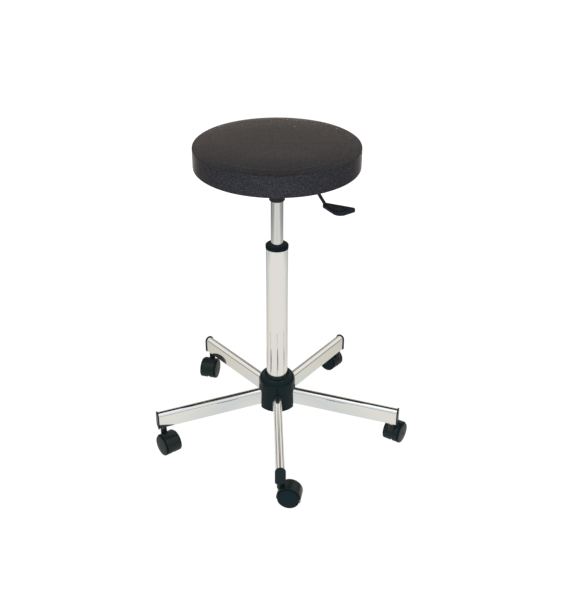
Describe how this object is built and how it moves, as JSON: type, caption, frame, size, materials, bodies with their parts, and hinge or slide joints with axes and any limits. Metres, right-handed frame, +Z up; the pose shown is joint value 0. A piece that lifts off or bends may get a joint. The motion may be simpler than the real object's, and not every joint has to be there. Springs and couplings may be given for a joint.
{
  "type": "rolling stool",
  "caption": "Height-adjustable stool: round moulded foam seat on a gas-spring column with a release lever, chromed star base and hooded twin-wheel castors.",
  "frame": {"origin": "on the floor, on the column's axis", "axes": "+Z up along the column, -Y along the leg nearest the viewer of the picture, +X to the viewer's right"},
  "size_m": [0.6018, 0.5898, 0.731],
  "materials": {
    "chrome": "bright chrome plate",
    "bright_steel": "polished cylinder",
    "bare_steel": "turned steel",
    "zinc_steel": "zinc plated",
    "black_paint": "satin black paint",
    "black_plastic": "fine moulded black",
    "hub_plastic": "glossy moulded black",
    "castor_plastic": "semi-matt moulded black",
    "wheel_plastic": "semi-matt moulded black",
    "inner_plastic": "natural moulded",
    "rubber": "moulded rubber",
    "plywood": "bare plywood",
    "seat_foam": "grained skin of moulded foam"
  },
  "bodies": {
    "base": {"column_tube": "chrome", "spindle_plate": "bare_steel", "guide_bush": "black_plastic", "hub_cover": "hub_plastic", "lower_race": "bare_steel", "castor_stems": "bare_steel", "leg_1": "chrome", "leg_2": "chrome", "leg_3": "chrome", "leg_4": "chrome", "leg_5": "chrome", "end_cap_1": "black_plastic", "end_cap_2": "black_plastic", "end_cap_3": "black_plastic", "end_cap_4": "black_plastic", "end_cap_5": "black_plastic"},
    "spindle": {"piston_rod": "bare_steel", "piston": "inner_plastic", "upper_race": "bare_steel", "ball_cage": "inner_plastic", "thrust_balls": "bare_steel", "rubber_bumper": "rubber", "clip_washer": "bare_steel", "retaining_clip": "bare_steel"},
    "seat": {"gas_cylinder": "bright_steel", "rod_gland": "inner_plastic", "taper_socket": "black_paint", "seat_plate": "black_paint", "plate_bolts": "zinc_steel", "bolt_washers": "zinc_steel", "tee_nuts": "zinc_steel", "seat_board": "plywood", "seat_cushion": "seat_foam", "lever_bracket": "black_paint", "lever_pin": "bare_steel"},
    "lever": {"lever_arm": "black_paint", "lever_paddle": "black_plastic"},
    "valve": {"release_button": "bare_steel"},
    "castor_1": {"castor_1_hood": "castor_plastic", "castor_1_axle": "bare_steel"},
    "castor_1_left_wheel": {"castor_1_wheel_left": "wheel_plastic"},
    "castor_1_right_wheel": {"castor_1_wheel_right": "wheel_plastic"},
    "castor_2": {"castor_2_hood": "castor_plastic", "castor_2_axle": "bare_steel"},
    "castor_2_left_wheel": {"castor_2_wheel_left": "wheel_plastic"},
    "castor_2_right_wheel": {"castor_2_wheel_right": "wheel_plastic"},
    "castor_3": {"castor_3_hood": "castor_plastic", "castor_3_axle": "bare_steel"},
    "castor_3_left_wheel": {"castor_3_wheel_left": "wheel_plastic"},
    "castor_3_right_wheel": {"castor_3_wheel_right": "wheel_plastic"},
    "castor_4": {"castor_4_hood": "castor_plastic", "castor_4_axle": "bare_steel"},
    "castor_4_left_wheel": {"castor_4_wheel_left": "wheel_plastic"},
    "castor_4_right_wheel": {"castor_4_wheel_right": "wheel_plastic"},
    "castor_5": {"castor_5_hood": "castor_plastic", "castor_5_axle": "bare_steel"},
    "castor_5_left_wheel": {"castor_5_wheel_left": "wheel_plastic"},
    "castor_5_right_wheel": {"castor_5_wheel_right": "wheel_plastic"}
  },
  "joints": [
    {"name": "seat_swivel", "type": "hinge", "parent": "base", "child": "spindle", "pos_m": [0, 0, 0.08], "axis": [0, 0, 1], "continuous": true},
    {"name": "height_slide", "type": "slide", "parent": "spindle", "child": "seat", "axis": [0, 0, 1], "range_m": [-0.1, 0.155]},
    {"name": "lever_pivot", "type": "hinge", "parent": "seat", "child": "lever", "pos_m": [0.02469, -0.02036, 0.66211], "axis": [-0.6361, -0.7716, 0], "range_deg": [0, 5.5], "stiffness_Nm_per_rad": 4, "springref_deg": -8.59},
    {"name": "button_press", "type": "slide", "parent": "seat", "child": "valve", "axis": [0, 0, -1], "range_m": [0, 0.0032]},
    {"name": "castor_1_swivel", "type": "hinge", "parent": "base", "child": "castor_1", "pos_m": [0, -0.2845, 0.059], "axis": [0, 0, 1], "continuous": true},
    {"name": "castor_1_left_spin", "type": "hinge", "parent": "castor_1", "child": "castor_1_left_wheel", "pos_m": [0.02054, -0.28887, 0.025], "axis": [0.2079, 0.9781, 0], "continuous": true},
    {"name": "castor_1_right_spin", "type": "hinge", "parent": "castor_1", "child": "castor_1_right_wheel", "pos_m": [0.02054, -0.28887, 0.025], "axis": [0.2079, 0.9781, 0], "continuous": true},
    {"name": "castor_2_swivel", "type": "hinge", "parent": "base", "child": "castor_2", "pos_m": [0.27058, -0.08791, 0.059], "axis": [0, 0, 1], "continuous": true},
    {"name": "castor_2_left_spin", "type": "hinge", "parent": "castor_2", "child": "castor_2_left_wheel", "pos_m": [0.28232, -0.07051, 0.025], "axis": [-0.829, 0.5592, 0], "continuous": true},
    {"name": "castor_2_right_spin", "type": "hinge", "parent": "castor_2", "child": "castor_2_right_wheel", "pos_m": [0.28232, -0.07051, 0.025], "axis": [-0.829, 0.5592, 0], "continuous": true},
    {"name": "castor_3_swivel", "type": "hinge", "parent": "base", "child": "castor_3", "pos_m": [0.16723, 0.23017, 0.059], "axis": [0, 0, 1], "continuous": true},
    {"name": "castor_3_left_spin", "type": "hinge", "parent": "castor_3", "child": "castor_3_left_wheel", "pos_m": [0.15162, 0.24422, 0.025], "axis": [-0.6691, -0.7431, 0], "continuous": true},
    {"name": "castor_3_right_spin", "type": "hinge", "parent": "castor_3", "child": "castor_3_right_wheel", "pos_m": [0.15162, 0.24422, 0.025], "axis": [-0.6691, -0.7431, 0], "continuous": true},
    {"name": "castor_4_swivel", "type": "hinge", "parent": "base", "child": "castor_4", "pos_m": [-0.16723, 0.23017, 0.059], "axis": [0, 0, 1], "continuous": true},
    {"name": "castor_4_left_spin", "type": "hinge", "parent": "castor_4", "child": "castor_4_left_wheel", "pos_m": [-0.17301, 0.20998, 0.025], "axis": [0.9613, -0.2756, 0], "continuous": true},
    {"name": "castor_4_right_spin", "type": "hinge", "parent": "castor_4", "child": "castor_4_right_wheel", "pos_m": [-0.17301, 0.20998, 0.025], "axis": [0.9613, -0.2756, 0], "continuous": true},
    {"name": "castor_5_swivel", "type": "hinge", "parent": "base", "child": "castor_5", "pos_m": [-0.27058, -0.08791, 0.059], "axis": [0, 0, 1], "continuous": true},
    {"name": "castor_5_left_spin", "type": "hinge", "parent": "castor_5", "child": "castor_5_left_wheel", "pos_m": [-0.25823, -0.1049, 0.025], "axis": [0.809, 0.5878, 0], "continuous": true},
    {"name": "castor_5_right_spin", "type": "hinge", "parent": "castor_5", "child": "castor_5_right_wheel", "pos_m": [-0.25823, -0.1049, 0.025], "axis": [0.809, 0.5878, 0], "continuous": true}
  ],
  "couplings": [
    {"joint": "button_press", "follows": "lever_pivot", "m_per_rad": 0.032}
  ]
}
